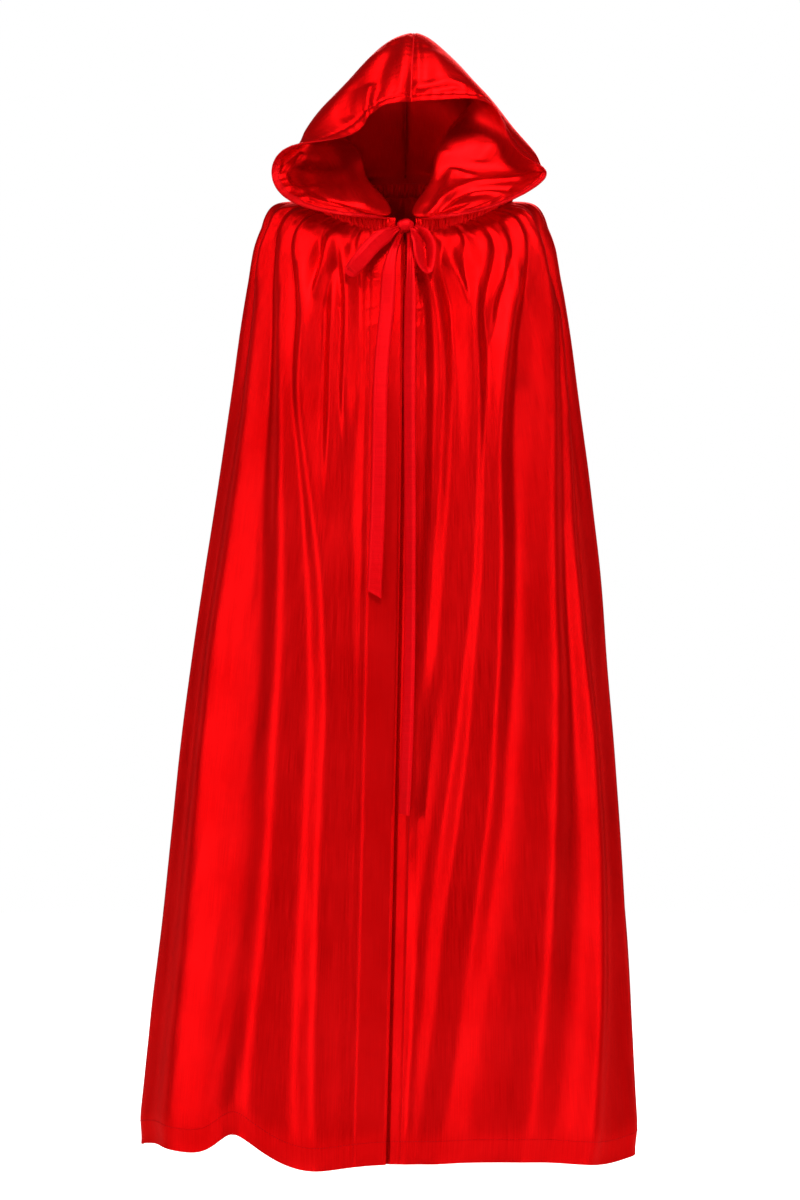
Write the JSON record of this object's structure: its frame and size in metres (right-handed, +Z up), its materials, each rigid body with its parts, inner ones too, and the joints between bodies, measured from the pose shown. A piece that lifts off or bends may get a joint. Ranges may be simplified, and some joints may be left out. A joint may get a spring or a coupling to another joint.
{
  "type": "hooded costume cape",
  "caption": "Ankle-length hooded satin cape, gathered into a neck casing and tied at the throat with a ribbon bow.",
  "frame": {"origin": "middle of the neck ring, level with the throat, where a wearer's neck and shoulders hold the cape up", "axes": "+Z up, the front of the cape faces -Y, and the wearer's left is +X"},
  "size_m": [0.7591, 0.4218, 1.6789],
  "materials": {
    "satin": "bright red polyester satin, shiny face out",
    "facing": "the same satin, turned under and stitched",
    "ribbon": "red satin ribbon",
    "thread": "red polyester sewing thread"
  },
  "bodies": {
    "cape_body": {"back_panel": "satin", "right_front_panel": "satin", "left_front_panel": "satin", "right_front_facing": "facing", "left_front_facing": "facing", "neck_casing": "satin", "neck_ribbon": "ribbon", "tie_knot": "ribbon"},
    "hood": {"hood_right_half": "satin", "hood_left_half": "satin", "hood_right_face_hem": "facing", "hood_left_face_hem": "facing", "hood_crown_seam_tape": "facing"},
    "right_tie": {"tie_right_loop": "ribbon", "tie_right_tail": "ribbon"},
    "left_tie": {"tie_left_loop": "ribbon", "tie_left_tail": "ribbon"}
  },
  "joints": [
    {"name": "hood_tip_back", "type": "hinge", "parent": "cape_body", "child": "hood", "pos_m": [0, 0.094, 0.076], "axis": [-1, 0, 0], "range_deg": [0, 30]},
    {"name": "right_tie_swing", "type": "hinge", "parent": "cape_body", "child": "right_tie", "pos_m": [-0.006, -0.096, -0.003], "axis": [-1, 0, 0], "range_deg": [0, 25]},
    {"name": "left_tie_swing", "type": "hinge", "parent": "cape_body", "child": "left_tie", "pos_m": [0.006, -0.096, -0.003], "axis": [-1, 0, 0], "range_deg": [0, 25]}
  ]
}
